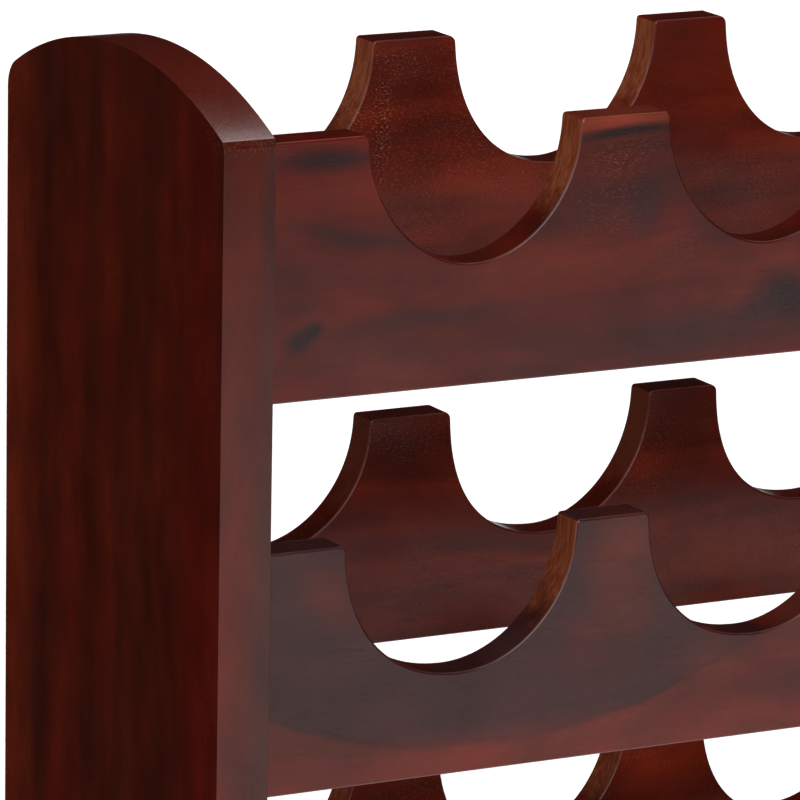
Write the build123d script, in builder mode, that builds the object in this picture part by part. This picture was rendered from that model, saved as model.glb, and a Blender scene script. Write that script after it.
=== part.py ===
# Wine rack in stained solid hardwood: two side panels with an arched top, joined by four front
# rails and four back rails whose upper edges are scalloped, so that each bottle lies across
# a front notch and a back notch. The rails butt against the panels and are held by blind
# glued dowels. Four nail-on glides keep the panels' end grain off the floor.
#
# Millimetres. +X is to the right, +Y to the back, +Z up.
# The origin is on the floor, under the middle of the rack. Levels count from the lowest.

import os
from typing import NamedTuple

from build123d import *

# ---- Driving dimensions ----
columns = 4
levels = 4
bottle_pitch = 126.7  # from one bottle's axis to the next along a rail
level_rises = (138.0, 138.0, 155.0)  # from each level's tooth tops to the next level's
end_margin = 83.0  # from a panel's inner face to the first bottle's axis
depth = 191.6
panel_thickness = 21.2
rail_thickness = 15.8
rail_height = 93.9
top_rail_height = 98.1
floor_to_rail = 56.0  # free height under the lowest rails
arch_above_rails = 22.9  # the arch above the top rails, at the middle of the panel's depth
front_end_above_rails = 0.9  # the arch's front end
back_end_above_rails = -2.4  # and its back end, a little lower

panel_arris = 1.2  # easing round a panel's two faces
rail_arris = 0.9
left_tooth_corner = 1.6  # rounding where a tooth's top meets its left side
front_corner = 3.5  # rounding where the arch meets the panel's front edge
back_corner = 12.4  # and its back edge
foot_corner = 3.0

dowel_diameter = 8.0
dowel_in_panel = 12.0
dowel_in_rail = 20.0
dowel_chamfer = 0.8
dowel_spacing = 52.0  # the upper and lower dowel of a rail's end
glue_gap = 1.0  # free length past each end of a dowel

glide_diameter = 16.0
glide_height = 3.0
glide_rounding = 1.0
nail_diameter = 2.4
nail_length = 12.0
glide_from_end = 22.0  # from the panel's front or back edge to the glide's centre

# A notch is two mirrored curves: how far each one keeps to the tooth's side and to the floor.
side_pull = 0.58
floor_pull = 0.50


class Cut(NamedTuple):
    """How one rail's notches were marked out and cut, by hand, so each rail has its own."""

    end_tooth: float  # widths of the tooth tops, from each end of the rail to its middle
    second_tooth: float
    middle_tooth: float
    end_depth: float  # depth of the first and last notch
    inner_depth: float  # and of the notches between them
    shift: float = 0.0  # how far the middle tooth stands to the right
    spacing: float = bottle_pitch  # between the tooth centres
    left_floor_pull: float = floor_pull  # the left curve of every notch
    right_corner: float = 2.4  # rounding where a tooth's top meets its right side
    third_rise: float = 0.0  # how much shallower the third notch is than the second


front_cuts = {
    1: Cut(32.0, 33.6, 34.0, 55.5, 54.5, shift=-0.5),
    2: Cut(33.0, 34.0, 33.0, 55.0, 55.0, shift=0.6),
    3: Cut(31.4, 31.8, 33.0, 54.2, 53.1, shift=1.5, spacing=129.0, left_floor_pull=0.66),
    4: Cut(38.5, 38.3, 36.5, 51.5, 53.5, spacing=126.4),
}
back_cuts = {
    1: Cut(37.5, 34.5, 33.0, 54.0, 54.0, shift=1.0, right_corner=3.0),
    2: Cut(37.0, 37.9, 37.0, 53.0, 52.0, 0.4, 125.7, left_floor_pull=0.7, right_corner=3.0),
    3: Cut(40.0, 36.8, 32.4, 51.5, 54.8, 5.0, 127.3, 0.74, right_corner=3.0, third_rise=2.1),
    4: Cut(37.2, 37.4, 33.9, 54.3, 54.9, 3.5, 127.2, 0.62, right_corner=3.4, third_rise=0.7),
}

# ---- Worked out from them ----
inside_width = 2 * end_margin + (columns - 1) * bottle_pitch
width = inside_width + 2 * panel_thickness
front_y, back_y = -depth / 2, depth / 2
lowest_top = floor_to_rail + rail_height
top_of_rails = lowest_top + sum(level_rises)
crown = top_of_rails + arch_above_rails
front_end_of_arch = (front_y, top_of_rails + front_end_above_rails)
back_end_of_arch = (back_y, top_of_rails + back_end_above_rails)

os.makedirs("parts", exist_ok=True)


def level_top(level):
    """Height of the tooth tops of one level."""
    return lowest_top + sum(level_rises[: level - 1])


def height_of_rail(level):
    return top_rail_height if level == levels else rail_height


def tooth_edges(cut):
    """Left and right edge of each tooth along a rail, from its left end to its right."""
    left_end, right_end = -inside_width / 2, inside_width / 2
    edges = [(left_end, left_end + cut.end_tooth)]
    for tooth in range(1, columns):
        centre = cut.shift + (tooth - columns / 2) * cut.spacing
        half = (cut.middle_tooth if 2 * tooth == columns else cut.second_tooth) / 2
        edges.append((centre - half, centre + half))
    return edges + [(right_end - cut.end_tooth, right_end)]


def dowel_spots(level, middle_y):
    """Places of a rail's two dowels on a plane across the rack's width."""
    middle_z = level_top(level) - height_of_rail(level) / 2
    return [(middle_y, middle_z - dowel_spacing / 2), (middle_y, middle_z + dowel_spacing / 2)]


front_middle = front_y + rail_thickness / 2
back_middle = back_y - rail_thickness / 2
all_dowel_spots = [
    spot
    for level in range(1, levels + 1)
    for middle_y in (front_middle, back_middle)
    for spot in dowel_spots(level, middle_y)
]
glide_spots = [front_y + glide_from_end, back_y - glide_from_end]


def corner_at(profile, place):
    """The corner of a panel's profile at this place."""
    return profile.vertices().sort_by_distance((*place, 0))[0]


def top_corners(profile, top, places):
    """The corners at these places along a rail's profile, at the height of its tooth tops."""
    on_top = profile.vertices().filter_by(lambda v: abs(v.Y - top) < 0.01)
    return on_top.filter_by(lambda v: any(abs(v.X - place) < 0.01 for place in places))


def make_panel(outer_x, side):
    """A side panel. side is -1 on the left of the rack and +1 on the right."""
    inner_x = outer_x - side * panel_thickness
    with BuildPart() as panel:
        with BuildSketch(Plane.YZ.offset(min(outer_x, inner_x))) as profile:
            with BuildLine():
                Polyline(
                    front_end_of_arch,
                    (front_y, glide_height),
                    (back_y, glide_height),
                    back_end_of_arch,
                )
                ThreePointArc(back_end_of_arch, (0, crown), front_end_of_arch)
            make_face()
            feet = profile.vertices().group_by(Axis.Y)[0]
            fillet(feet, foot_corner)
            fillet(corner_at(profile, front_end_of_arch), front_corner)
            fillet(corner_at(profile, back_end_of_arch), back_corner)
        extrude(amount=panel_thickness)
        fillet(panel.faces().filter_by(Axis.X).edges(), panel_arris)
        # Blind dowel holes in the inner face.
        with BuildSketch(Plane.YZ.offset(inner_x)):
            with Locations(*all_dowel_spots):
                Circle(dowel_diameter / 2)
        extrude(amount=side * (dowel_in_panel + glue_gap), mode=Mode.SUBTRACT)
        # Pilot holes for the glides' nails.
        with BuildSketch(Plane.XY.offset(glide_height)):
            with Locations(*[((outer_x + inner_x) / 2, y) for y in glide_spots]):
                Circle(nail_diameter / 2)
        extrude(amount=nail_length, mode=Mode.SUBTRACT)
    return panel


def make_rail(level, cut, outside_y, middle_y):
    """A scalloped rail. outside_y is its face on the outside of the rack."""
    top = level_top(level)
    bottom = top - height_of_rail(level)
    teeth = tooth_edges(cut)
    near_y = min(outside_y, 2 * middle_y - outside_y)
    with BuildPart() as rail:
        with BuildSketch(Plane.XZ.offset(-near_y)) as profile:
            with BuildLine():
                Polyline(
                    (teeth[0][0], top),
                    (teeth[0][0], bottom),
                    (teeth[-1][1], bottom),
                    (teeth[-1][1], top),
                )
                for left, right in teeth:
                    Line((left, top), (right, top))
                for notch in range(columns):
                    start, end = teeth[notch][1], teeth[notch + 1][0]
                    middle, half = (start + end) / 2, (end - start) / 2
                    notch_depth = cut.end_depth if notch in (0, columns - 1) else cut.inner_depth
                    if notch == 2:
                        notch_depth -= cut.third_rise
                    low = top - notch_depth
                    bend = top - side_pull * notch_depth
                    left_turn = middle - cut.left_floor_pull * half
                    right_turn = middle + floor_pull * half
                    Bezier((start, top), (start, bend), (left_turn, low), (middle, low))
                    Bezier((middle, low), (right_turn, low), (end, bend), (end, top))
            make_face()
            left_sides = [left for left, _ in teeth[1:]]
            right_sides = [right for _, right in teeth[:-1]]
            fillet(top_corners(profile, top, left_sides), left_tooth_corner)
            fillet(top_corners(profile, top, right_sides), cut.right_corner)
        extrude(amount=-rail_thickness)
        outline = rail.faces().filter_by(Axis.Y).edges()
        fillet(outline.filter_by(Axis.Z, reverse=True), rail_arris)
        # Blind dowel holes in both ends.
        for side in (-1, 1):
            with BuildSketch(Plane.YZ.offset(side * inside_width / 2)):
                with Locations(*dowel_spots(level, middle_y)):
                    Circle(dowel_diameter / 2)
            extrude(amount=-side * (dowel_in_rail + glue_gap), mode=Mode.SUBTRACT)
    return rail


def make_dowels(level, middle_y):
    """The four dowels of one rail, two in each end."""
    with BuildPart() as dowels:
        for side in (-1, 1):
            inner_x = side * inside_width / 2
            with BuildSketch(Plane.YZ.offset(inner_x - side * dowel_in_rail)):
                with Locations(*dowel_spots(level, middle_y)):
                    Circle(dowel_diameter / 2)
            extrude(amount=side * (dowel_in_rail + dowel_in_panel))
        chamfer(dowels.edges().filter_by(GeomType.CIRCLE), dowel_chamfer)
    return dowels


def make_glide(middle_x, middle_y):
    """A nail-on glide: a low round pad with its nail moulded in."""
    with BuildPart() as glide:
        with BuildSketch():
            with Locations((middle_x, middle_y)):
                Circle(glide_diameter / 2)
        extrude(amount=glide_height)
        fillet(glide.edges().group_by(Axis.Z)[0], glide_rounding)
        with BuildSketch(Plane.XY.offset(glide_height)):
            with Locations((middle_x, middle_y)):
                Circle(nail_diameter / 2)
        extrude(amount=nail_length)
    return glide


def keep(piece, name):
    piece.part.label = name
    export_step(piece.part, f"parts/{name}.step")
    print(name, "volume", round(piece.part.volume))


for side_name, side in (("left", -1), ("right", 1)):
    outer_x = side * width / 2
    keep(make_panel(outer_x, side), f"{side_name}_side_panel")
    for end_name, glide_y in zip(("front", "back"), glide_spots):
        glide_x = outer_x - side * panel_thickness / 2
        keep(make_glide(glide_x, glide_y), f"{side_name}_{end_name}_glide")

for level in range(1, levels + 1):
    keep(make_rail(level, front_cuts[level], front_y, front_middle), f"front_rail_{level}")
    keep(make_rail(level, back_cuts[level], back_y, back_middle), f"back_rail_{level}")
    keep(make_dowels(level, front_middle), f"front_rail_{level}_dowels")
    keep(make_dowels(level, back_middle), f"back_rail_{level}_dowels")

print("size", round(width, 1), depth, round(crown, 1))
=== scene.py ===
# %% [markdown]
# # A wine rack in stained hardwood
#
# The rack is a simple joiner's piece: two side panels with an arched top, and eight rails whose
# upper edges are scalloped so that bottles lie across them. The wood is sheesham, an Indian
# rosewood, stained to a dark mahogany red and finished with a satin lacquer.
#
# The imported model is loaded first. It gives every board's place and size, and what is made here
# fits into those places: this file adds the eased edges, the wood and the light.

# %% Load the frame
import math

import bmesh
import bpy
from mathutils import Matrix, Vector


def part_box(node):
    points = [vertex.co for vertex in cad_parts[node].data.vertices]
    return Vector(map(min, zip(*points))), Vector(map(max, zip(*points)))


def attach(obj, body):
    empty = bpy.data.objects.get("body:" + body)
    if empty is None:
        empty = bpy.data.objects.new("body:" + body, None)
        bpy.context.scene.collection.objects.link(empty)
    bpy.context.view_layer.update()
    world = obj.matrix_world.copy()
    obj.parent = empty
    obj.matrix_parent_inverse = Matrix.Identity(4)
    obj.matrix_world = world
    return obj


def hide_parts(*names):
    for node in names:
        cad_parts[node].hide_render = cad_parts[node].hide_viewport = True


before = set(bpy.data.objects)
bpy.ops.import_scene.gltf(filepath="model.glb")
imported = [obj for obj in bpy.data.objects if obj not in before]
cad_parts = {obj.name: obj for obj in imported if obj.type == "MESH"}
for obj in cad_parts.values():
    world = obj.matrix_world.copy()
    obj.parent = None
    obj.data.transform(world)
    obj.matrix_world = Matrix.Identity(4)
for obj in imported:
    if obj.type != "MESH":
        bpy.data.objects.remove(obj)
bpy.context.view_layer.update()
MM = 0.001

# %% [markdown]
# Every material and every Geometry Nodes tree below is a graph. One small function adds a node,
# sets it up and links it, which keeps a graph readable as a list of steps. Colours are written
# as sRGB hex values, the way a colour picker shows them, and turned to linear light in one place.


# %% Helpers for node trees and colours
def add(tree, kind, inputs=None, **settings):
    """Add a node. inputs gives a value, a socket or a whole node for each named input."""
    node = tree.nodes.new(kind)
    for name, value in settings.items():
        setattr(node, name, value)
    for key, value in (inputs or {}).items():
        if isinstance(value, bpy.types.Node):
            value = value.outputs[0]
        if isinstance(value, bpy.types.NodeSocket):
            tree.links.new(value, node.inputs[key])
        else:
            node.inputs[key].default_value = value
    return node


def linear(hex_colour):
    """An sRGB hex colour as linear red, green, blue and alpha."""
    parts = [int(hex_colour[i : i + 2], 16) / 255 for i in (1, 3, 5)]
    return [v / 12.92 if v <= 0.04045 else ((v + 0.055) / 1.055) ** 2.4 for v in parts] + [1.0]


def link_to_scene(mesh, name):
    """A new object at the origin that shows this mesh, which may still be a bmesh."""
    if isinstance(mesh, bmesh.types.BMesh):
        draft, mesh = mesh, bpy.data.meshes.new(name)
        draft.to_mesh(mesh)
        draft.free()
    piece = bpy.data.objects.new(name, mesh)
    bpy.context.collection.objects.link(piece)
    return piece


# %% [markdown]
# ## The wood
#
# Sheesham has a strong figure: bands of brown heartwood and paler, redder wood that wander along
# the board, with short open pores. The stain turns it all mahogany red, the greyer heartwood
# still shows through it, and sanding thins the stain on the edges; the edges are also painted
# paler as a highlight. So the colour is built in layers, each at the real size of what it
# stands for:
#
# - the figure, bands about 20 mm wide and 180 mm long;
# - fine grain lines some 1.3 mm wide, and clouds some 30 mm long where the stain took unevenly;
# - pores about 0.5 mm wide and 4 mm long, dark, some of them filled with pale polishing dust, and
#   more pale specks at the panels' arch ends as a painted highlight;
# - patches that belong to one board only, such as a knot or a mineral streak, and painted shade
#   on the inner teeth of two back rails;
# - end grain, where the surface cuts across the fibres, and the rubbed edges, paler partly from
#   worn stain and partly from a painted highlight.
#
# Each board has its own cut from the tree, so the pattern is moved by a different amount for
# each one. All of it reads Object coordinates, so the figure runs through the board from face
# to face as it does in real wood.

# %% Colours and sizes of the wood
RAIL_TONES = ("#611b0e", "#50140b", "#3a1410")  # pale band, usual tone, heartwood
BACK_RAIL_TONES = ("#6e2110", "#5b180c", "#43150e")
PANEL_TONES = ("#5c1a0d", "#50180c", "#42160d")
END_GRAIN = "#843a22"
BARE_END = "#965539"
# Pale eased edges: worn stain, and a painted highlight along the arrises as well.
WORN_EDGE_AND_HIGHLIGHT = "#8a4f3f"
OPEN_PORE = "#200a07"
HOLLOW = "#240a06"
# Pale specks: polishing dust, and at the panels' arch ends a painted highlight.
DUST_AND_SHEEN = "#8c6657"

# The cells of each layer in mm, along the fibres and across them.
DRIFT = (150, 60)
GRAIN_LINE = (70, 1.3)
CLOUD = (30, 16)
PORE = (4, 0.45)
SPECK = (1.3, 0.55)
DUSTY_REGION = (50, 34)
MOTTLE = (9, 9)
SAW_STROKE = (14, 1.6)
SANDING_WAVE = (40, 26)
LACQUER_SKIN = (1.6, 1.1)
CUT_DIRECTION = (0.37, 0.91, 0.53)  # where the pattern is moved for each board's own cut


# %% Building blocks of a material
def empty_material(name):
    """A new material and its empty node tree."""
    material = bpy.data.materials.new(name)
    material.use_nodes = True
    material.node_tree.nodes.clear()
    return material, material.node_tree


def smooth_mask(tree, value, low, high):
    """0 where value is at low or beyond it, 1 at high or beyond, with a soft step between."""
    inputs = {"Value": value, "From Min": low, "From Max": high}
    return add(tree, "ShaderNodeMapRange", inputs, interpolation_type="SMOOTHSTEP")


def calculate(tree, operation, *values):
    """A Math node on these values."""
    return add(tree, "ShaderNodeMath", dict(enumerate(values)), operation=operation)


def calculate_vector(tree, operation, inputs):
    """A Vector Math node with these inputs."""
    return add(tree, "ShaderNodeVectorMath", inputs, operation=operation)


def blend_colour(tree, share, under, over, mode="MIX"):
    """over laid on under, by share."""
    node = add(tree, "ShaderNodeMix", {0: share}, data_type="RGBA", blend_type=mode)
    for socket, colour in ((node.inputs[6], under), (node.inputs[7], over)):
        if isinstance(colour, str):
            socket.default_value = linear(colour)
        else:
            tree.links.new(colour, socket)
    return node.outputs[2]


def stretched_noise(tree, place, cell, grain_axis, detail=2.0, shift=0.0):
    """Noise with cells of this size in mm, along the grain and across it."""
    along, across = cell
    scale = [1 / (across * MM)] * 3
    scale["XYZ".index(grain_axis)] = 1 / (along * MM)
    inputs = {"Vector": place, "Scale": scale, "Location": [shift] * 3}
    spot = add(tree, "ShaderNodeMapping", inputs)
    return add(tree, "ShaderNodeTexNoise", {"Vector": spot, "Scale": 1.0, "Detail": detail})


def soft_spot(tree, place, centre, half_size, lean=0.0):
    """1 inside a soft ellipsoid, 0 outside it. lean tips it about Y, rising to the right."""
    turn = (0.0, -math.radians(lean), 0.0)
    inputs = {"Vector": place, "Location": centre, "Rotation": turn, "Scale": half_size}
    local = add(tree, "ShaderNodeMapping", inputs, vector_type="TEXTURE")
    far = calculate_vector(tree, "LENGTH", {0: local})
    return smooth_mask(tree, far.outputs["Value"], 1.4, 0.2)


# %% The edge of the heart
HEART_BOW = 19 * MM  # how far the line rises from its lowest point over its spread
HEART_WOBBLE = 9 * MM
RED_RIM = "#561a0e"
HEARTWOOD = "#361718"
ZONE_LINE = "#251013"


def heart_edge(tree, here, colour, heart):
    """Grey-brown heartwood above a bowed line, with a thin dark zone line along it."""
    middle_x, lowest_z, spread = heart
    parts = add(tree, "ShaderNodeSeparateXYZ", {0: here})
    wobble = stretched_noise(tree, here, (45, 25), "X")
    offset = calculate(tree, "SUBTRACT", parts, middle_x)
    offset = calculate(tree, "DIVIDE", offset, spread)
    bow = calculate(tree, "MULTIPLY", offset, offset)
    line = calculate(tree, "MULTIPLY_ADD", bow, HEART_BOW, lowest_z)
    line = calculate(tree, "MULTIPLY_ADD", wobble, HEART_WOBBLE, line)
    above = calculate(tree, "SUBTRACT", parts.outputs["Z"], line)
    colour = blend_colour(tree, smooth_mask(tree, above, -12 * MM, -2 * MM), colour, RED_RIM)
    inside = smooth_mask(tree, above, 0.0, 4 * MM)
    colour = blend_colour(tree, calculate(tree, "MULTIPLY", inside, 0.92), colour, HEARTWOOD)
    near = calculate(tree, "ABSOLUTE", calculate(tree, "SUBTRACT", above, 1.5 * MM))
    zone_line = smooth_mask(tree, near, 2.5 * MM, 0.0)
    return blend_colour(tree, calculate(tree, "MULTIPLY", zone_line, 0.6), colour, ZONE_LINE)


# %% The figure and its patches
WANDER = 22 * MM  # a noise keeps away from its limits, so the fibres move by up to 9 mm
PATCH_WANDER = 0.6  # the share of that which bends a patch's outline


def wandering(tree, place, grain_axis):
    """How far the fibres are pushed sideways, over some 150 mm."""
    drift = stretched_noise(tree, place, DRIFT, grain_axis, detail=1.0)
    push = calculate_vector(tree, "SUBTRACT", {0: drift.outputs["Color"], 1: (0.5, 0.5, 0.5)})
    return calculate_vector(tree, "SCALE", {0: push, "Scale": WANDER})


def figure(tree, fibre, grain_axis, tones, band):
    """Bands of pale wood, of the usual tone and of heartwood. band is their width in mm."""
    pale, usual, dark_heart = tones
    bands = stretched_noise(tree, fibre, (9 * band, band), grain_axis, detail=3.0)
    colour = blend_colour(tree, smooth_mask(tree, bands, 0.32, 0.54), pale, usual)
    heart_share = calculate(tree, "MULTIPLY", smooth_mask(tree, bands, 0.5, 0.72), 0.85)
    return blend_colour(tree, heart_share, colour, dark_heart)


def with_patches(tree, colour, here, push, patches):
    """Patches laid over the figure: (centre, half size, lean, strength, colour) for each."""
    bent = calculate_vector(tree, "SCALE", {0: push, "Scale": PATCH_WANDER})
    bent = calculate_vector(tree, "ADD", {0: here, 1: bent})
    for centre, half_size, lean, strength, patch_colour in patches:
        share = soft_spot(tree, bent, centre, half_size, lean)
        share = calculate(tree, "MULTIPLY", share, strength)
        colour = blend_colour(tree, share, colour, patch_colour)
    return colour


def shaded(tree, colour, noise, darkest, palest):
    """The colour made darker and paler by a noise."""
    shade = add(tree, "ShaderNodeMapRange", {0: noise, 1: 0.3, 2: 0.7, 3: darkest, 4: palest})
    return blend_colour(tree, 1.0, colour, shade.outputs[0], mode="MULTIPLY")


# %% End grain, pores and rubbed edges
def with_end_grain(tree, colour, here, facing, mottle, grain_axis, end_tone):
    """Where fibres meet the surface head on they take the stain less evenly, and show a saw's
    fine strokes. A board with an end tone has its ends sealed in that colour instead."""
    head_on = calculate(tree, "ABSOLUTE", facing.outputs[grain_axis])
    uneven = calculate(tree, "MULTIPLY_ADD", mottle, 0.3, head_on)
    if end_tone is None:
        strokes = stretched_noise(tree, here, SAW_STROKE, "Z", shift=4.2)
        paler = smooth_mask(tree, strokes, 0.35, 0.65)
        end_tone = blend_colour(tree, paler, END_GRAIN, BARE_END)
    return blend_colour(tree, smooth_mask(tree, uneven, 0.84, 1.10), colour, end_tone)


def with_dust(tree, colour, here, grain_axis, cut, dust, dust_and_sheen_spots):
    """Polishing dust: pale specks between dark hollows. On a panel's arch end the extra specks are
    a painted highlight. Also gives where the specks are.
    """
    dusty = stretched_noise(tree, here, SPECK, grain_axis, detail=1.0, shift=7.7)
    region = stretched_noise(tree, here, DUSTY_REGION, grain_axis, shift=1.9 + cut)
    where = calculate(tree, "MULTIPLY", smooth_mask(tree, region, 0.38, 0.66), dust)
    for centre, half_size, amount in dust_and_sheen_spots:
        spot = calculate(tree, "MULTIPLY", soft_spot(tree, here, centre, half_size), amount)
        where = calculate(tree, "MAXIMUM", where, spot)
    specks = calculate(tree, "MULTIPLY", smooth_mask(tree, dusty, 0.52, 0.76), where)
    hollows = calculate(tree, "MULTIPLY", smooth_mask(tree, dusty, 0.46, 0.30), where)
    colour = blend_colour(tree, hollows, colour, HOLLOW)
    return blend_colour(tree, specks, colour, DUST_AND_SHEEN), specks


def with_rubbed_and_highlit_edges(tree, colour, facing, mottle, grain_axis):
    """Paler eased edges: partly stain worn thin, partly a painted highlight. The eased edges
    face neither a board's side nor its rim, which is how they are found. Also gives where
    they are."""
    across = "Y" if grain_axis == "X" else "X"
    tilt = calculate(tree, "ABSOLUTE", facing.outputs[across])
    on_edge = calculate(tree, "ABSOLUTE", calculate(tree, "SUBTRACT", tilt, 0.55))
    edge = smooth_mask(tree, on_edge, 0.40, 0.10)
    # The paler edge colour is worn stain and a painted highlight together.
    rubbed = calculate(tree, "MULTIPLY", edge, smooth_mask(tree, mottle, 0.38, 0.68))
    return blend_colour(tree, calculate(tree, "MULTIPLY", rubbed, 0.25), colour, WORN_EDGE_AND_HIGHLIGHT), edge


# %% Satin lacquer
LACQUER = 1.5  # index of refraction
THIN_LACQUER = 1.38


def relief_of(tree, height, depth, strength=1.0, **extra):
    """A relief this deep. extra may hold the relief below it, as Normal."""
    inputs = {"Height": height, "Distance": depth, "Strength": strength, **extra}
    return add(tree, "ShaderNodeBump", inputs)


def lacquered(tree, colour, here, grain_axis, pore, specks, edge, lacquer):
    """The lacquer levels most of the grain, sinks a little into the pores and shows the slow
    waves left by hand sanding. It is duller on dust and where the edges are rubbed."""
    waves = stretched_noise(tree, here, SANDING_WAVE, grain_axis, detail=1.0, shift=5.0)
    skin = stretched_noise(tree, here, LACQUER_SKIN, grain_axis, detail=1.0, shift=9.0)
    relief = relief_of(tree, waves, 0.4 * MM, 0.2)
    relief = relief_of(tree, skin, 0.03 * MM, 0.2, Normal=relief)
    relief = relief_of(tree, pore, 0.06 * MM, 0.4, Normal=relief)
    relief.invert = True
    rough = add(tree, "ShaderNodeMapRange", {0: waves, 1: 0.3, 2: 0.7, 3: 0.17, 4: 0.25})
    rough = calculate(tree, "MULTIPLY_ADD", specks, 0.2, rough)
    rough = calculate(tree, "MULTIPLY_ADD", edge, 0.3, rough)
    inputs = {"Base Color": colour, "Roughness": rough, "Normal": relief, "IOR": lacquer}
    return add(tree, "ShaderNodeBsdfPrincipled", inputs)


# %% The wood of one board
def stained_board(
    name,
    grain_axis,
    cut,
    tones,
    band,
    heart=None,
    patches=(),
    end_tone=None,
    dust=0.0,
    dust_and_sheen_spots=(),
    lacquer=LACQUER,
):
    """Stained and lacquered sheesham for one board.

    cut moves the pattern to another part of the tree, and heart is (x, z, spread) of the
    heartwood's edge. dust is the amount of it all over, and the dust spots list where there is
    more: (centre, half size, amount); on a panel's arch end their pale specks are a painted
    highlight. lacquer is the coat's index of refraction.
    """
    material, tree = empty_material(name)
    coordinates = add(tree, "ShaderNodeTexCoord")
    here = coordinates.outputs["Object"]
    facing = add(tree, "ShaderNodeSeparateXYZ", {0: coordinates.outputs["Normal"]})
    moved = calculate_vector(tree, "ADD", {0: here, 1: [cut * v for v in CUT_DIRECTION]})
    push = wandering(tree, moved, grain_axis)
    fibre = calculate_vector(tree, "ADD", {0: moved, 1: push})

    colour = figure(tree, fibre, grain_axis, tones, band)
    if heart:
        colour = heart_edge(tree, here, colour, heart)
    colour = with_patches(tree, colour, here, push, patches)
    lines = stretched_noise(tree, fibre, GRAIN_LINE, grain_axis)
    colour = shaded(tree, colour, lines, 0.95, 1.05)
    clouds = stretched_noise(tree, fibre, CLOUD, grain_axis, detail=4.0, shift=2.6)
    colour = shaded(tree, colour, clouds, 0.76, 1.24)

    mottle = stretched_noise(tree, here, MOTTLE, grain_axis, detail=3.0)
    colour = with_end_grain(tree, colour, here, facing, mottle, grain_axis, end_tone)
    pores = stretched_noise(tree, fibre, PORE, grain_axis, detail=1.0, shift=3.1)
    pore = smooth_mask(tree, pores, 0.62, 0.74)
    colour = blend_colour(tree, calculate(tree, "MULTIPLY", pore, 0.15), colour, OPEN_PORE)
    colour, specks = with_dust(tree, colour, here, grain_axis, cut, dust, dust_and_sheen_spots)
    colour, edge = with_rubbed_and_highlit_edges(tree, colour, facing, mottle, grain_axis)
    shader = lacquered(tree, colour, here, grain_axis, pore, specks, edge, lacquer)
    add(tree, "ShaderNodeOutputMaterial", {"Surface": shader})
    return material


# %% [markdown]
# ## The rails
#
# A rail follows a rule: a straight board with one notch per bottle, each notch cut to the same
# template but marked out by hand, so the teeth between them differ by a few millimetres. That
# makes it a good piece for Geometry Nodes. The tree lays one rounded corner, one notch and
# another corner at each bottle's place, turns them into points, strings all the points from left
# to right into one outline, fills it and gives it its thickness. The alternative, cutting
# cylinders out of a bar with booleans, gives a harder edge and a messier mesh.

# %% The sizes that a rail's tree asks for
RAIL_SIZES = {
    "Notches": 4,
    "Length": 0.546,
    "Top": 0.1,
    "Bottom": 0.0,
    "Thickness": 0.0158,
    "Front": 0.0,
    "End Tooth": 0.037,
    "Second Tooth": 0.035,
    "Middle Tooth": 0.035,
    "End Depth": 0.054,
    "Inner Depth": 0.054,
    "Third Rise": 0.0,
    "Shift": 0.0,
    "Spacing": 0.1267,
    "Left Floor": 0.5,
    "Right Floor": 0.5,
    "Side Pull": 0.58,
    "Left Corner": 0.0016,
    "Right Corner": 0.0024,
    "Edge Easing": 1.0,
    "Joint Easing": 0.15,
}


def new_tree(name, sizes):
    """A Geometry Nodes tree whose inputs have these names and starting values."""
    tree = bpy.data.node_groups.new(name, "GeometryNodeTree")
    tree.interface.new_socket("Geometry", in_out="OUTPUT", socket_type="NodeSocketGeometry")
    for label, value in sizes.items():
        kind = "NodeSocketInt" if isinstance(value, int) else "NodeSocketFloat"
        socket = tree.interface.new_socket(label, in_out="INPUT", socket_type=kind)
        socket.default_value = value
    tree.interface.new_socket("Material", in_out="INPUT", socket_type="NodeSocketMaterial")
    return tree


# %% Where each notch goes
SAME = 0.1  # two counts this close are the same number


def pick(tree, share, otherwise, chosen):
    """otherwise where share is 0, chosen where it is 1."""
    difference = calculate(tree, "SUBTRACT", chosen, otherwise)
    return calculate(tree, "MULTIPLY_ADD", difference, share, otherwise)


def tooth(tree, size, number):
    """Centre and half width of the tooth with this number, counted from the left end."""
    steps = calculate(tree, "MULTIPLY_ADD", size["Notches"], -0.5, number)
    centre = calculate(tree, "MULTIPLY_ADD", steps, size["Spacing"], size["Shift"])
    is_middle = calculate(tree, "COMPARE", steps, 0.0, SAME)
    wider = calculate(tree, "SUBTRACT", size["Middle Tooth"], size["Second Tooth"])
    width = calculate(tree, "MULTIPLY_ADD", is_middle, wider, size["Second Tooth"])
    return centre, calculate(tree, "MULTIPLY", width, 0.5)


def notch_places(tree, size, half_length):
    """Start, end and depth of each notch. The first and the last run up to the end teeth."""
    index = add(tree, "GeometryNodeInputIndex")
    next_index = calculate(tree, "ADD", index, 1.0)
    is_first = calculate(tree, "COMPARE", index, 0.0, SAME)
    is_third = calculate(tree, "COMPARE", index, 2.0, SAME)
    is_last = calculate(tree, "COMPARE", next_index, size["Notches"], SAME)
    reach = calculate(tree, "SUBTRACT", half_length, size["End Tooth"])
    left_end = calculate(tree, "MULTIPLY", reach, -1.0)
    after_tooth = calculate(tree, "ADD", *tooth(tree, size, index))
    before_tooth = calculate(tree, "SUBTRACT", *tooth(tree, size, next_index))
    start = pick(tree, is_first, after_tooth, left_end)
    end = pick(tree, is_last, before_tooth, reach)
    third_depth = calculate(tree, "SUBTRACT", size["Inner Depth"], size["Third Rise"])
    inner_depth = pick(tree, is_third, size["Inner Depth"], third_depth)
    at_end = calculate(tree, "MAXIMUM", is_first, is_last)
    return start, end, pick(tree, at_end, inner_depth, size["End Depth"])


# %% The templates of a notch and of a tooth's corner
NOTCH_STEPS = 28
CORNER_STEPS = 8


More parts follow.
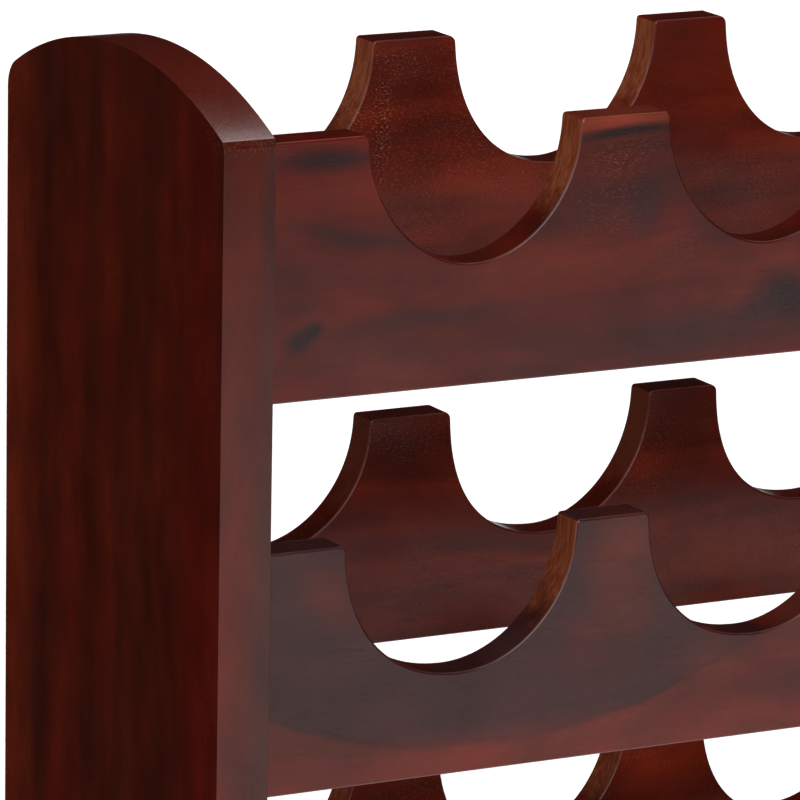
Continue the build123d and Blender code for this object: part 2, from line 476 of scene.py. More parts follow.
def half_notch(tree, side, side_turn, floor_turn):
    """One half of a notch, one unit wide and one unit deep. side is -1 for the left half."""
    curve = add(
        tree,
        "GeometryNodeCurvePrimitiveBezierSegment",
        {
            "Resolution": NOTCH_STEPS,
            "Start": (side, 0.0, 0.0),
            "Start Handle": add(tree, "ShaderNodeCombineXYZ", {0: side, 1: side_turn}),
            "End Handle": add(tree, "ShaderNodeCombineXYZ", {0: floor_turn, 1: -1.0}),
            "End": (0.0, -1.0, 0.0),
        },
    )
    return add(tree, "GeometryNodeCurveToMesh", {"Curve": curve})


def quarter_circle(tree):
    """A tooth's corner, with a radius of one unit."""
    inputs = {"Resolution": CORNER_STEPS, "Radius": 1.0, "Sweep Angle": math.pi / 2}
    arc = add(tree, "GeometryNodeCurveArc", inputs)
    return add(tree, "GeometryNodeCurveToMesh", {"Curve": arc})


# %% The upper edge: notches and corners laid at their places
def lay(tree, places, template, at, scale):
    """One copy of the template per notch, at this x and height and stretched by this much."""
    spot = add(tree, "ShaderNodeCombineXYZ", {0: at[0], 1: at[1]})
    moved = add(tree, "GeometryNodeSetPosition", {"Geometry": places, "Position": spot})
    stretch = add(tree, "ShaderNodeCombineXYZ", {0: scale[0], 1: scale[1]})
    inputs = {"Points": moved, "Instance": template, "Scale": stretch}
    copies = add(tree, "GeometryNodeInstanceOnPoints", inputs)
    return add(tree, "GeometryNodeRealizeInstances", {0: copies})


def upper_edge(tree, size, half_length, height):
    """The points of all notches, and of the corners that take the place of their first points.

    At each notch the tooth before it ends in a right corner and the next begins with a left one.
    """
    start, end, depth = notch_places(tree, size, half_length)
    middle = calculate(tree, "MULTIPLY", calculate(tree, "ADD", start, end), 0.5)
    half = calculate(tree, "MULTIPLY", calculate(tree, "SUBTRACT", end, start), 0.5)
    side_turn = calculate(tree, "MULTIPLY", size["Side Pull"], -1.0)
    left_floor = calculate(tree, "MULTIPLY", size["Left Floor"], -1.0)
    places = add(tree, "GeometryNodeMeshLine", {"Count": size["Notches"]})
    corner = quarter_circle(tree)
    joined = add(tree, "GeometryNodeJoinGeometry")
    sides = (
        (-1.0, left_floor, start, size["Right Corner"]),
        (1.0, size["Right Floor"], end, size["Left Corner"]),
    )
    for side, floor_turn, tooth_edge, radius in sides:
        shoulder = calculate(tree, "SUBTRACT", size["Top"], radius)
        template = half_notch(tree, side, side_turn, floor_turn)
        notch = lay(tree, places, template, (middle, size["Top"]), (half, depth))
        too_high = calculate(tree, "GREATER_THAN", height, shoulder)
        notch = add(tree, "GeometryNodeDeleteGeometry", {"Geometry": notch, "Selection": too_high})
        tree.links.new(notch.outputs[0], joined.inputs[0])
        centre_x = calculate(tree, "MULTIPLY_ADD", radius, side, tooth_edge)
        mirrored = calculate(tree, "MULTIPLY", radius, -side)
        round_off = lay(tree, places, corner, (centre_x, shoulder), (mirrored, radius))
        tree.links.new(round_off.outputs[0], joined.inputs[0])
    return joined


# %% Stringing the points into one outline
MERGE = 0.02 * MM


def stored(tree, geometry, name, value, domain="POINT"):
    """Store a value with each point or edge of this geometry."""
    inputs = {"Geometry": geometry, "Name": name, "Value": value}
    return add(tree, "GeometryNodeStoreNamedAttribute", inputs, domain=domain)


def board_outline(tree, size, half_length):
    """The board's closed outline. From left to right the upper edge never turns back, so its
    points are strung by their x. The board's four corners go first and last."""
    position = add(tree, "ShaderNodeSeparateXYZ", {0: add(tree, "GeometryNodeInputPosition")})
    edge = upper_edge(tree, size, half_length, position.outputs["Y"])
    dots = add(tree, "GeometryNodeMeshToPoints", {"Mesh": edge})
    strung = add(tree, "GeometryNodeJoinGeometry", {0: stored(tree, dots, "order", position)})
    far_left = calculate(tree, "MULTIPLY", half_length, -1.0)
    corners = (
        (far_left, size["Bottom"], -20.0),
        (far_left, size["Top"], -10.0),
        (half_length, size["Top"], 10.0),
        (half_length, size["Bottom"], 20.0),
    )
    for x, height, rank in corners:
        spot = add(tree, "ShaderNodeCombineXYZ", {0: x, 1: height})
        dot = add(tree, "GeometryNodePoints", {"Count": 1, "Position": spot})
        tree.links.new(stored(tree, dot, "order", rank).outputs[0], strung.inputs[0])
    single = add(tree, "GeometryNodeMergeByDistance", {"Geometry": strung, "Distance": MERGE})
    order = add(tree, "GeometryNodeInputNamedAttribute", {"Name": "order"})
    outline = add(tree, "GeometryNodePointsToCurves", {"Points": single, "Weight": order})
    return add(tree, "GeometryNodeSetSplineCyclic", {0: outline, "Cyclic": True})


# %% From the outline to a board
SHARP_ANGLE = math.radians(50)
END_MARGIN = 0.05 * MM


def closed_body(tree, outline, thickness):
    """Fill the outline, lift the face by the thickness and close the back with its twin."""
    face = add(tree, "GeometryNodeFillCurve", {"Curve": outline}, mode="NGONS")
    inputs = {"Mesh": face, "Offset": (0.0, 0.0, 1.0), "Offset Scale": thickness}
    body = add(tree, "GeometryNodeExtrudeMesh", inputs)
    back = add(tree, "GeometryNodeFlipFaces", {"Mesh": face})
    closed = add(tree, "GeometryNodeJoinGeometry", {0: body})
    tree.links.new(back.outputs[0], closed.inputs[0])
    return add(tree, "GeometryNodeMergeByDistance", {"Geometry": closed, "Distance": MERGE})


def with_easing(tree, size, body, half_length):
    """Store how far each edge is eased: fully round the faces, hardly at all at the joints."""
    position = add(tree, "ShaderNodeSeparateXYZ", {0: add(tree, "GeometryNodeInputPosition")})
    angle = add(tree, "GeometryNodeInputMeshEdgeAngle")
    sharp = calculate(tree, "GREATER_THAN", angle, SHARP_ANGLE)
    from_middle = calculate(tree, "ABSOLUTE", position)
    close_to_end = calculate(tree, "SUBTRACT", half_length, END_MARGIN)
    joint = calculate(tree, "GREATER_THAN", from_middle, close_to_end)
    easing = pick(tree, joint, size["Edge Easing"], size["Joint Easing"])
    easing = calculate(tree, "MULTIPLY", sharp, easing)
    return stored(tree, body, "bevel_weight_edge", easing, domain="EDGE")


def build_rail_tree():
    """The whole tree. It draws the board lying down, with its front face towards +Z, and then
    stands it up."""
    tree = new_tree("Scalloped rail", RAIL_SIZES)
    size = add(tree, "NodeGroupInput").outputs
    half_length = calculate(tree, "MULTIPLY", size["Length"], 0.5)
    outline = board_outline(tree, size, half_length)
    body = closed_body(tree, outline, size["Thickness"])
    eased = with_easing(tree, size, body, half_length)
    back_y = calculate(tree, "ADD", size["Front"], size["Thickness"])
    to_place = add(tree, "ShaderNodeCombineXYZ", {1: back_y})
    inputs = {"Geometry": eased, "Translation": to_place, "Rotation": (math.pi / 2, 0.0, 0.0)}
    standing = add(tree, "GeometryNodeTransform", inputs)
    smooth = add(tree, "GeometryNodeSetShadeSmooth", {"Geometry": standing})
    inputs = {"Geometry": smooth, "Material": size["Material"]}
    add(tree, "NodeGroupOutput", {0: add(tree, "GeometryNodeSetMaterial", inputs)})
    return tree


rail_tree = build_rail_tree()
print("rail tree", len(rail_tree.nodes), "nodes")


# %% Turning a tree into a plain mesh
def ease_edges(piece, width, segments=4):
    """Round the edges by the weights they carry."""
    bevel = piece.modifiers.new("Eased edges", "BEVEL")
    bevel.limit_method = "WEIGHT"
    bevel.width = width
    bevel.segments = segments
    bevel.harden_normals = True
    bevel.use_clamp_overlap = True


def freeze(piece):
    """Replace the piece's mesh by what its modifiers make of it, and remove the modifiers."""
    graph = bpy.context.evaluated_depsgraph_get()
    mesh = bpy.data.meshes.new_from_object(piece.evaluated_get(graph), depsgraph=graph)
    piece.modifiers.clear()
    piece.data = mesh
    mesh.name = piece.name
    return piece


def grow(name, tree, values, material, easing):
    """Make a piece with a Geometry Nodes tree, set its inputs, ease its edges and freeze it."""
    piece = link_to_scene(bpy.data.meshes.new(name), name)
    nodes = piece.modifiers.new("Shape", "NODES")
    nodes.node_group = tree
    for item in tree.interface.items_tree:
        if item.item_type == "SOCKET" and item.in_out == "INPUT":
            nodes[item.identifier] = material if item.name == "Material" else values[item.name]
    ease_edges(piece, easing)
    return freeze(piece)


# %% [markdown]
# ## Dowel holes
#
# The joints are blind: each rail end and the panel beside it share two dowels that nobody sees
# once the glue is dry. The holes are cut with a boolean, because they are few, round and
# meet flat faces. The dowels' own places come from the model.

# %% Blind holes for the dowels
DOWEL_RADIUS = 4.0 * MM
DOWEL_LENGTH = 32.0 * MM  # 12 mm in the panel and 20 mm in the rail
HOLE_END_GAP = 1.0 * MM
LYING = Matrix.Rotation(math.pi / 2, 4, "Y")
dowel_nodes = [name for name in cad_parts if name.endswith("_dowels")]


def cutter_for(nodes):
    """Cylinders along X, as long as the dowels of these nodes plus their end gaps."""
    cutter = bmesh.new()
    for node in nodes:
        low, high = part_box(node)
        middle_y = (low.y + high.y) / 2
        for height in (low.z + DOWEL_RADIUS, high.z - DOWEL_RADIUS):
            for outer in (low.x, high.x):
                side = 1 if outer > 0 else -1
                middle_x = outer - side * DOWEL_LENGTH / 2
                bmesh.ops.create_cone(
                    cutter,
                    cap_ends=True,
                    segments=32,
                    radius1=DOWEL_RADIUS,
                    radius2=DOWEL_RADIUS,
                    depth=DOWEL_LENGTH + 2 * HOLE_END_GAP,
                    matrix=Matrix.Translation((middle_x, middle_y, height)) @ LYING,
                )
    return link_to_scene(cutter, "dowel cutter")


def drill(piece, nodes):
    """Drill the piece for the dowels of these nodes, and shade its large flat faces flat."""
    cutter = cutter_for(nodes)
    bore = piece.modifiers.new("Dowel holes", "BOOLEAN")
    bore.operation = "DIFFERENCE"
    bore.solver = "EXACT"
    bore.object = cutter
    flatten = piece.modifiers.new("Flat faces first", "WEIGHTED_NORMAL")
    flatten.mode = "FACE_AREA"
    freeze(piece)
    bpy.data.objects.remove(cutter)


print("nodes with dowels", len(dowel_nodes))

# %% [markdown]
# The rails are marked out by hand, so each has its own row of sizes, which repeats the model's
# own cuts: three tooth widths, the depths of the end and inner notches, how far the middle
# tooth stands to the right, the spacing of the teeth, the radius of their right-hand corners
# and how much shallower the third notch is, all in millimetres. The last value is how full the
# notches are cut at the left. Everything else comes from the model's boxes.

# %% How each rail was cut
PITCH = 126.7
RAIL_EASING = 0.9 * MM
CUT_NAMES = (
    "End Tooth",
    "Second Tooth",
    "Middle Tooth",
    "End Depth",
    "Inner Depth",
    "Shift",
    "Spacing",
    "Right Corner",
    "Third Rise",
)
RAIL_CUTS = {
    "front_rail_1": (32.0, 33.6, 34.0, 55.5, 54.5, -0.5, PITCH, 2.4, 0.0, 0.5),
    "front_rail_2": (33.0, 34.0, 33.0, 55.0, 55.0, 0.6, PITCH, 2.4, 0.0, 0.5),
    "front_rail_3": (31.4, 31.8, 33.0, 54.2, 53.1, 1.5, 129.0, 2.4, 0.0, 0.66),
    "front_rail_4": (38.5, 38.3, 36.5, 51.5, 53.5, 0.0, 126.4, 2.4, 0.0, 0.5),
    "back_rail_1": (37.5, 34.5, 33.0, 54.0, 54.0, 1.0, PITCH, 3.0, 0.0, 0.5),
    "back_rail_2": (37.0, 37.9, 37.0, 53.0, 52.0, 0.4, 125.7, 3.0, 0.0, 0.7),
    "back_rail_3": (40.0, 36.8, 32.4, 51.5, 54.8, 5.0, 127.3, 3.0, 2.1, 0.74),
    "back_rail_4": (37.2, 37.4, 33.9, 54.3, 54.9, 3.5, 127.2, 3.4, 0.7, 0.62),
}


def make_rail(node, material):
    """One scalloped rail in the place of its CAD node."""
    low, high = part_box(node)
    cut = RAIL_CUTS[node]
    values = dict(RAIL_SIZES)
    values.update({name: value * MM for name, value in zip(CUT_NAMES, cut)})
    values["Left Floor"] = cut[-1]
    values["Length"] = high.x - low.x
    values["Top"], values["Bottom"] = high.z, low.z
    values["Front"], values["Thickness"] = low.y, high.y - low.y
    rail = grow(f"{node}_board", rail_tree, values, material, RAIL_EASING)
    drill(rail, [f"{node}_dowels"])
    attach(rail, "root")
    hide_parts(node)
    print(rail.name, "faces", len(rail.data.polygons))


# %% [markdown]
# ## The side panels
#
# A panel is one wide board, arched along its top. Its outline has a few straight lines and some
# arcs, so it is drawn as points on those arcs, filled and thickened with bmesh, which is shorter
# than a node tree for a shape that is made only twice. Its edges are eased by the same Bevel as
# the rails'. Where a rail butts against it the edge is left almost sharp, because the maker
# glues the frame first and then sands rail and panel flush: there the joint closes to a line.

# %% Sizes of a side panel
# The arch's heights above the top rails: at the middle of the panel's depth, a hair less than
# the model's 22.9 mm so that the crown stays inside the model's box, and at its two ends.
ARCH_MIDDLE = 22.8 * MM
ARCH_FRONT = 0.9 * MM
ARCH_BACK = -2.4 * MM
ARCH_STEPS = 72
FRONT_CORNER = 3.5 * MM
BACK_CORNER = 12.4 * MM
FOOT_CORNER = 3.0 * MM
PANEL_EASING = 1.2 * MM
JOINT_SHARE = 0.12  # how much of that easing is left beside a rail
NEAR = 0.1 * MM


def round_corner(before, corner, after, radius, steps):
    """Points on the arc of this radius that rounds a corner between two directions."""
    to_before = (before - corner).normalized()
    to_after = (after - corner).normalized()
    half_angle = to_before.angle(to_after) / 2
    reach = radius / math.tan(half_angle)
    centre = corner + (to_before + to_after).normalized() * radius / math.sin(half_angle)
    first = corner + to_before * reach - centre
    last = corner + to_after * reach - centre
    turn = first.angle_signed(last)
    return [centre + Matrix.Rotation(-turn * i / steps, 2) @ first for i in range(steps + 1)]


def rail_spans(side):
    """Bottom and top height of each rail at the front or the back, from the lowest up."""
    boxes = [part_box(f"{side}_rail_{level}") for level in (1, 2, 3, 4)]
    return [(low.z, high.z) for low, high in boxes]


FRONT_SPANS, BACK_SPANS = rail_spans("front"), rail_spans("back")


def beside_rail(y, z):
    """Whether a point on a panel's vertical edge has a rail beside it."""
    return any(low < z < high for low, high in (FRONT_SPANS if y < 0 else BACK_SPANS))


def circle_through(first, second, third):
    """Centre and radius of the circle through three points."""
    across, along = second - first, third - first
    rows = Matrix(((across.x, across.y), (along.x, along.y)))
    centre = first + rows.inverted() @ Vector((across.length_squared, along.length_squared)) / 2
    return centre, (first - centre).length


def panel_outline(low, high):
    """The panel's side view as (y, z) points, from the front foot round to the back one."""
    rails_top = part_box("front_rail_4")[1].z
    front_foot, back_foot = Vector((low.y, low.z)), Vector((high.y, low.z))
    front_top = Vector((low.y, rails_top + ARCH_FRONT))
    back_top = Vector((high.y, rails_top + ARCH_BACK))
    centre, radius = circle_through(front_top, Vector((0.0, rails_top + ARCH_MIDDLE)), back_top)

    def on_arch(angle):
        return centre + Vector((radius * math.sin(angle), radius * math.cos(angle)))

    front_end = math.asin((front_top.x - centre.x) / radius)
    back_end = math.asin((back_top.x - centre.x) / radius)
    near_front = front_end + FRONT_CORNER / radius
    near_back = back_end - BACK_CORNER / radius
    step = (near_back - near_front) / ARCH_STEPS
    arch = [on_arch(near_front + step * i) for i in range(1, ARCH_STEPS)]
    front_ends = [z for span in FRONT_SPANS for z in span]
    back_ends = [z for span in BACK_SPANS for z in span]
    outline = round_corner(back_foot, front_foot, front_top, FOOT_CORNER, 6)
    outline += [Vector((low.y, z)) for z in front_ends if z < front_top.y - 2 * FRONT_CORNER]
    front_round = round_corner(front_foot, front_top, on_arch(near_front), FRONT_CORNER, 8)
    back_round = round_corner(on_arch(near_back), back_top, back_foot, BACK_CORNER, 14)
    outline += front_round
    outline += [p for p in arch if front_round[-1].x + MM < p.x < back_round[0].x - MM]
    outline += back_round
    outline += [Vector((high.y, z)) for z in reversed(back_ends) if z < back_top.y - BACK_CORNER]
    outline += round_corner(back_top, back_foot, front_foot, FOOT_CORNER, 6)
    return outline


# %% Make a side panel
def thick_board(outline, low_x, high_x):
    """A closed board of this outline between two x places, and its two loops of corners."""
    board = bmesh.new()
    loops = [[board.verts.new((x, p.x, p.y)) for p in outline] for x in (low_x, high_x)]
    board.faces.new(loops[0])
    board.faces.new(reversed(loops[1]))
    count = len(outline)
    for i in range(count):
        j = (i + 1) % count
        board.faces.new((loops[0][j], loops[0][i], loops[1][i], loops[1][j]))
    bmesh.ops.recalc_face_normals(board, faces=board.faces)
    for face in board.faces:
        face.smooth = True
    return board, loops


def weigh_edges(board, loops, inner_x):
    """Give the edges round both faces their easing: in full, or a share beside a rail."""
    weight = board.edges.layers.float.new("bevel_weight_edge")
    for loop in loops:
        for here, following in zip(loop, loop[1:] + loop[:1]):
            middle = (here.co + following.co) / 2
            jointed = abs(middle.x - inner_x) < NEAR and beside_rail(middle.y, middle.z)
            upright = abs(here.co.y - following.co.y) < NEAR
            edge = board.edges.get((here, following))
            edge[weight] = JOINT_SHARE if jointed and upright else 1.0


def make_panel(node, side, material):
    """A side panel in the place of its CAD node. side is -1 for the left one."""
    low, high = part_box(node)
    board, loops = thick_board(panel_outline(low, high), low.x, high.x)
    weigh_edges(board, loops, high.x if side < 0 else low.x)
    panel = link_to_scene(board, f"{node}_board")
    panel.data.materials.append(material)
    ease_edges(panel, PANEL_EASING, segments=5)
    freeze(panel)
    drill(panel, dowel_nodes)
    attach(panel, "root")
    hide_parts(node)
    print(panel.name, "faces", len(panel.data.polygons))


# %% [markdown]
# ## Cutting the boards
#
# Now each board gets its own piece of the tree. The two upper front rails are the ones people
# see first, so their knots, streaks and the edge of the heart are placed one by one, measured
# from the rail's own box.

# %% Patches on a rail
TOP_RAIL, SECOND_RAIL = "front_rail_4", "front_rail_3"
KNOT = "#150d11"
GREY_STREAK = "#261417"
BROWN_SHADE = "#3a1712"
RED_STREAK = "#8a3824"
RED_TOP = "#6c1407"
RED_PATCH = "#5c1f10"
RED_FOOT = "#7a2a1c"
THROUGH = 60 * MM  # a patch runs right through the board


def spot_on(node, place, half_size):
    """Centre and half size of a spot on a rail: in mm from its left end and its underside."""
    low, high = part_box(node)
    centre = (low.x + place[0] * MM, (low.y + high.y) / 2, low.z + place[1] * MM)
    return centre, (half_size[0] * MM, THROUGH, half_size[1] * MM)


def patch(node, place, half_size, strength, colour, lean=0.0):
    """A patch of another colour on a rail."""
    return *spot_on(node, place, half_size), lean, strength, colour


def dust_spot(node, place, half_size, amount):
    """More dust on part of a rail."""
    return *spot_on(node, place, half_size), amount


# %% The two upper front rails
top_patches = [
    # place, half size, strength, colour and lean
    ((30, 64), (30, 3.5), 0.55, GREY_STREAK, -12),
    ((70, 28), (45, 5.0), 0.4, GREY_STREAK, 3),
    ((120, 44), (60, 9.0), 0.5, RED_PATCH, -4),
    ((17, 28), (11, 8), 0.3, RED_PATCH),
    ((11, 21.5), (7.5, 6.0), 0.85, KNOT, 20),
    ((17, 26), (5.5, 4.5), 0.85, KNOT, 30),
    ((219, 24), (14, 12), 0.85, KNOT, -20),
    ((206, 20), (9, 7), 0.5, KNOT, 20),
    ((22, 91.0), (24, 4.2), 0.85, GREY_STREAK),
    ((20, 99.0), (26, 2.6), 0.95, RED_TOP),
    ((146, 98.5), (34, 8.5), 0.95, RED_STREAK, 3),
    ((148, 100.0), (34, 2.2), 0.8, RED_TOP),
    ((148, 91.2), (30, 2.2), 0.9, KNOT, 3),
    ((156, 62), (9, 13), 0.6, GREY_STREAK),
    ((190, 52), (16, 8), 0.4, GREY_STREAK, -20),
    ((44, 14), (36, 12), 0.45, BROWN_SHADE),
]
top_dust = [
    ((146, 82), (19, 9), 0.2),
    ((141, 64), (20, 20), 0.12),
    ((172, 46), (12, 10), 0.12),
]
second_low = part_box(SECOND_RAIL)[0]
second_heart = (second_low.x + 94 * MM, second_low.z + 5 * MM, 95 * MM)
second_patches = [
    # place, half size, strength, colour and lean
    ((151, 74), (15, 38), 0.75, RED_PATCH, -4),
    ((150, 4), (170, 14), 0.5, RED_FOOT),
    ((134, 44), (12, 12), 0.4, RED_PATCH),
    ((25, 74), (10, 18), 0.5, RED_PATCH, 50),
    ((189, 36), (18, 12), 0.5, RED_PATCH, 10),
]
rail_woods = {
    TOP_RAIL: stained_board(
        "stained sheesham with two knots",
        "X",
        1.0,
        RAIL_TONES,
        band=20,
        patches=[patch(TOP_RAIL, *row) for row in top_patches],
        dust_and_sheen_spots=[dust_spot(TOP_RAIL, *row) for row in top_dust],
    ),
    SECOND_RAIL: stained_board(
        "stained sheesham with the edge of the heart",
        "X",
        2.3,
        RAIL_TONES,
        band=20,
        heart=second_heart,
        patches=[patch(SECOND_RAIL, *row) for row in second_patches],
    ),
}
print("patches", len(top_patches), "and", len(second_patches))

# %% The other rails
# Painted shade: darkens the inner teeth of the back rails, where the rails above and in front keep
# the light off.
PAINTED_SHADE = "#2c0f0b"
PALE_FOOT = "#80321f"
PALE_TOOTH = "#7a2410"
SEALED_END = "#6e3424"

# Rows as above, by rail.
back_dust = {
    "back_rail_4": [
        ((135, 63), (6, 30), 0.55),
        ((122, 66), (10, 18), 0.4),
        ((140, 88), (22, 10), 0.3),
    ],
}
# The dark patches on back rails 3 and 4 are painted shade on their inner teeth.
back_patches = {
    "back_rail_2": [((276, 84), (34, 34), 0.6, PALE_TOOTH)],
    "back_rail_3": [
        ((150, 82), (32, 28), 0.6, PAINTED_SHADE),
        ((278, 82), (32, 28), 0.7, PAINTED_SHADE),
        ((320, 20), (60, 15), 0.5, PALE_FOOT),
    ],
    "back_rail_4": [
        ((149, 84), (26, 24), 0.5, PAINTED_SHADE),
        ((276, 82), (26, 24), 0.3, PAINTED_SHADE),
    ],
}
for number, node in enumerate(sorted(RAIL_CUTS)):
    if node in rail_woods:
        continue
    at_back = node.startswith("back")
    rail_woods[node] = stained_board(
        f"stained sheesham for the {node.replace('_', ' ')}",
        "X",
        3.1 + 1.7 * number,
        BACK_RAIL_TONES if at_back else RAIL_TONES,
        band=18,
        patches=[patch(node, *row) for row in back_patches.get(node, ())],
        end_tone=SEALED_END if node == "back_rail_3" else None,
        dust=0.2 if at_back else 0.0,
        dust_and_sheen_spots=[dust_spot(node, *row) for row in back_dust.get(node, ())],
        lacquer=THIN_LACQUER if at_back else LACQUER,
    )
for node, wood in rail_woods.items():
    make_rail(node, wood)

# %% The panels' wood
STRIPE_LENGTH = 1200 * MM  # long enough to run the whole height of the panel
STRIPE_DEPTH = 8 * MM  # and it goes this deep
STRIPE_HEIGHT = 0.3  # its centre, half way up the panel
RED_BACK_EDGE = "#6c2412"
RED_STRIPE = "#5f1309"
BROWN_STRIPE = "#4a1a0e"
GREY_EDGE = "#43201b"
PANEL_END = "#5e1c11"


def panel_wood(node, side, cut):
    """A panel's wood: redder towards the back edge and in a stripe near the front one, with pale
    specks at the arch's front end as a painted highlight.
    """
    low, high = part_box(node)
    outer_x, inner_x = (low.x, high.x) if side < 0 else (high.x, low.x)
    stripes = [
        (outer_x, high.y - 2 * MM, 26 * MM, 0.9, RED_BACK_EDGE),
        (outer_x, low.y + 16 * MM, 18 * MM, 0.7, RED_STRIPE),
        (outer_x, low.y + 70 * MM, 22 * MM, 0.5, BROWN_STRIPE),
        (inner_x, low.y, 4 * MM, 0.8, GREY_EDGE),
    ]
    patches = [
        ((x, y, STRIPE_HEIGHT), (STRIPE_DEPTH, half, STRIPE_LENGTH), 0.0, strength, colour)
        for x, y, half, strength, colour in stripes
    ]
    return stained_board(
        f"stained sheesham for the {node.replace('_', ' ')}",
        "Z",
        cut,
        PANEL_TONES,
        band=24,
        patches=patches,
        end_tone=PANEL_END,
        dust=0.05,
        # Pale specks at the arch's front end: a painted highlight, warm and grainy, where the
        # lacquer catches the overhead soft box.
        dust_and_sheen_spots=[((outer_x, low.y, high.z - 18 * MM), (60 * MM, 20 * MM, 9 * MM), 0.35)],
    )


make_panel("left_side_panel", -1, panel_wood("left_side_panel", -1, 11.0))
make_panel("right_side_panel", 1, panel_wood("right_side_panel", 1, 14.2))

# %% [markdown]
# ## Small parts
#
# The dowels are turned beech, bare and pale, and the glides are black nylon. Their shapes in
# the model are already right, so they only get a material.


# %% Beech and nylon
def finish_matt(tree, colour, height, depth, roughness):
    """A rough surface of this colour with a shallow relief."""
    inputs = {"Base Color": colour, "Roughness": roughness}
    inputs["Normal"] = relief_of(tree, height, depth)
    shader = add(tree, "ShaderNodeBsdfPrincipled", inputs)
    add(tree, "ShaderNodeOutputMaterial", {"Surface": shader})


def beech_dowel():
    """Bare turned beech: pale, matt, with short brown ray flecks along the grain."""
    material, tree = empty_material("turned beech")
    here = add(tree, "ShaderNodeTexCoord").outputs["Object"]
    flecks = stretched_noise(tree, here, (5, 0.6), "X")
    tone = stretched_noise(tree, here, (30, 3), "X", detail=1.0)
    colour = blend_colour(tree, tone, "#c9a478", "#b98f62")
    colour = blend_colour(tree, smooth_mask(tree, flecks, 0.60, 0.70), colour, "#8d6038")
    finish_matt(tree, colour, flecks, 0.05 * MM, 0.7)
    return material


def moulded_nylon():
    """Black moulded nylon: a low sheen over a fine spark-eroded grain, scuffed underneath."""
    material, tree = empty_material("moulded nylon")
    here = add(tree, "ShaderNodeTexCoord").outputs["Object"]
    grit = stretched_noise(tree, here, (0.4, 0.4), "X")
    scuffs = stretched_noise(tree, here, (4, 2), "X", detail=3.0)
    colour = blend_colour(tree, smooth_mask(tree, scuffs, 0.5, 0.8), "#171514", "#3b3735")
    finish_matt(tree, colour, grit, 0.03 * MM, 0.5)
    return material


beech, nylon = beech_dowel(), moulded_nylon()
small_parts = [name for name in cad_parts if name.endswith(("_dowels", "_glide"))]
for name in small_parts:
    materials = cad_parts[name].data.materials
    materials.clear()
    materials.append(beech if name in dowel_nodes else nylon)
print("small parts", len(small_parts))

# %% [markdown]
# ## The studio
#
# The rack stands on a plain pale floor. A dark lacquered board shows what it faces, so the light
# is arranged for its reflections first: a soft box overhead that catches the ends of the
# arches, a large one in front and slightly to the left, which lights the rails without being
# mirrored in them, and a weaker one on the left for the panel's outer face. A white card on the
# floor in front lays a thin veil over the rails. The soft boxes are painted on the world, which
# lights evenly at any distance, with the floor's own bounce beneath and a small pale one low
# behind the rack that shows on the notches' floors. The floor and the backdrop are seen by the
# camera but kept out of reflections, as black flags do in a studio, so that the stain keeps its
# depth.

# %% Light
SOFT_BOXES = {
    # direction, inner and outer radius in degrees, brightness
    "overhead": ((0.38, 0.24, 0.89), 7, 14, 3.8),
    "in front": ((-0.20, -0.85, 0.38), 20, 32, 4.1),
    "on the left": ((-0.80, 0.00, 0.60), 20, 35, 1.05),
    "bounce": ((0.00, 0.00, -1.0), 45, 65, 1.35),
    "low behind": ((0.50, 0.86, -0.17), 3, 9, 0.9),
}
AMBIENT = 0.008

world = bpy.data.worlds.new("studio")
bpy.context.scene.world = world
world.use_nodes = True
sky = world.node_tree
sky.nodes.clear()
looking = add(sky, "ShaderNodeTexCoord").outputs["Generated"]
total = add(sky, "ShaderNodeValue")
total.outputs[0].default_value = AMBIENT
for direction, inner, outer, brightness in SOFT_BOXES.values():
    towards = Vector(direction).normalized()
    dot = calculate_vector(sky, "DOT_PRODUCT", {0: looking, 1: towards})
    edge = (math.cos(math.radians(outer)), math.cos(math.radians(inner)))
    glow = smooth_mask(sky, dot.outputs["Value"], *edge)
    total = calculate(sky, "MULTIPLY_ADD", glow, brightness, total)
background = add(sky, "ShaderNodeBackground", {"Color": linear("#ffffff"), "Strength": total})
add(sky, "ShaderNodeOutputWorld", {"Surface": background})
print("soft boxes", ", ".join(SOFT_BOXES))

# %% Floor and backdrop
FLOOR_RADIUS = 24.0
FLOOR_GLOW = 0.62
BACKDROP_GLOW = 1.2
CARD_GLOW = 0.3


def plain_paper(name, shine):
    """Seamless studio paper: white and matt. shine is its own light."""
    material = bpy.data.materials.new(name)
    material.use_nodes = True
    shader = material.node_tree.nodes["Principled BSDF"]
    shader.inputs["Base Color"].default_value = linear("#f6f5f3")
    shader.inputs["Roughness"].default_value = 0.9
    shader.inputs["Specular IOR Level"].default_value = 0.0
    shader.inputs["Emission Color"].default_value = linear("#ffffff")
    shader.inputs["Emission Strength"].default_value = shine
    return material


def hide_from(piece, *rays):
    """Keep the piece out of what these kinds of ray see."""
    for ray in rays:
        setattr(piece, f"visible_{ray}", False)


disc = bmesh.new()
bmesh.ops.create_circle(disc, cap_ends=True, segments=96, radius=FLOOR_RADIUS)
floor = link_to_scene(disc, "floor")
floor.data.materials.append(plain_paper("studio paper floor", FLOOR_GLOW))
hide_from(floor, "glossy", "diffuse")

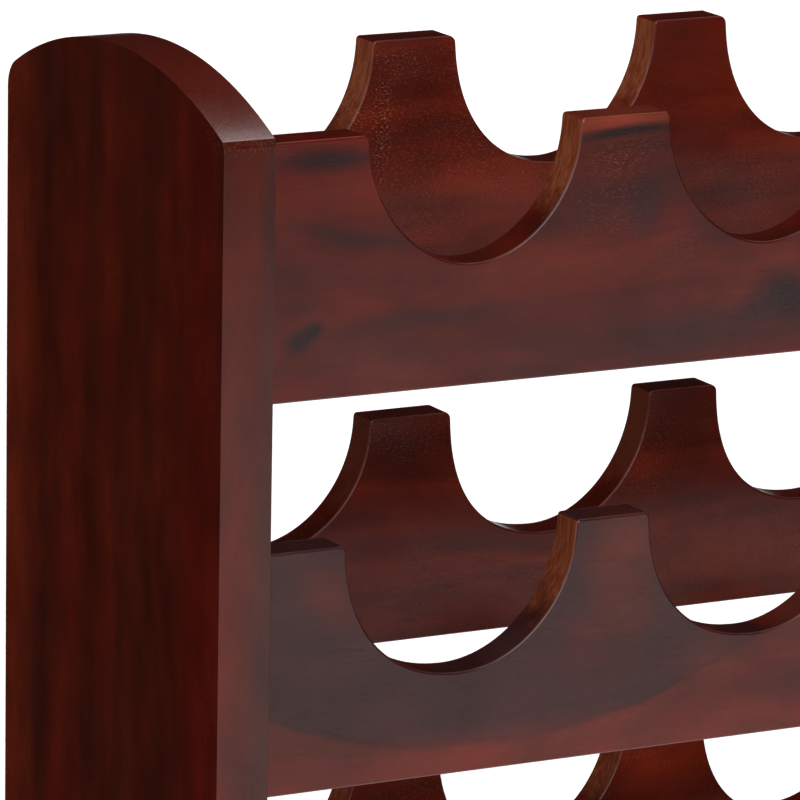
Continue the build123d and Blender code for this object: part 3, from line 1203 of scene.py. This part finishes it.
ball = bmesh.new()
bmesh.ops.create_uvsphere(ball, u_segments=48, v_segments=24, radius=FLOOR_RADIUS + 1)
bmesh.ops.reverse_faces(ball, faces=ball.faces)
dome = link_to_scene(ball, "backdrop")
dome.data.materials.append(plain_paper("studio paper backdrop", BACKDROP_GLOW))
hide_from(dome, "diffuse", "glossy", "transmission", "volume_scatter", "shadow")
print("floor and backdrop, radius", FLOOR_RADIUS)


# %% The white card in front
CARD_HEIGHT = 0.004


def white_card(middle, half_width, half_length):
    """A card lying on the floor, seen only in the lacquer."""
    mesh = bpy.data.meshes.new("white card")
    corners = [(-1, -1), (1, -1), (1, 1), (-1, 1)]
    points = [
        (middle[0] + a * half_width, middle[1] + b * half_length, CARD_HEIGHT) for a, b in corners
    ]
    mesh.from_pydata(points, [], [(0, 1, 2, 3)])
    mesh.materials.append(plain_paper("white card", CARD_GLOW))
    card = link_to_scene(mesh, "white card")
    hide_from(card, "camera", "diffuse", "transmission", "volume_scatter", "shadow")


white_card((0.70, -1.55), 0.85, 0.92)

# %% [markdown]
# ## The camera
#
# A long lens from the left, a little above the rack, framed on its upper left corner, where the
# arch, the teeth and the wood show best. The camera's place is measured from the left panel's
# front edge and the top of the upper rails.

# %% Camera
LENS = 286.17
SENSOR_WIDTH = 36.0
FORWARD = Vector((0.4543273, 0.8609091, -0.2289591))
UPWARD = Vector((0.0904913, 0.2110866, 0.9732696))
FROM_CORNER = Vector((-1.00003, -2.0352, 0.44016))

panel_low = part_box("left_side_panel")[0]
corner = Vector((panel_low.x, panel_low.y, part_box(TOP_RAIL)[1].z))
sideways = FORWARD.cross(UPWARD).normalized()
upward = sideways.cross(FORWARD)

lens = bpy.data.cameras.new("camera")
lens.lens = LENS
lens.sensor_width = SENSOR_WIDTH
lens.clip_end = 100.0
camera = bpy.data.objects.new("camera", lens)
bpy.context.collection.objects.link(camera)
turned = Matrix((sideways, upward, -FORWARD)).transposed().to_4x4()
camera.matrix_world = Matrix.Translation(corner + FROM_CORNER) @ turned
bpy.context.scene.camera = camera
print("camera", [round(v, 3) for v in camera.matrix_world.translation])

# %% [markdown]
# The plain Standard view is chosen, so that the stain's colours come out as they were mixed.

# %% Finish
bpy.context.scene.view_settings.view_transform = "Standard"
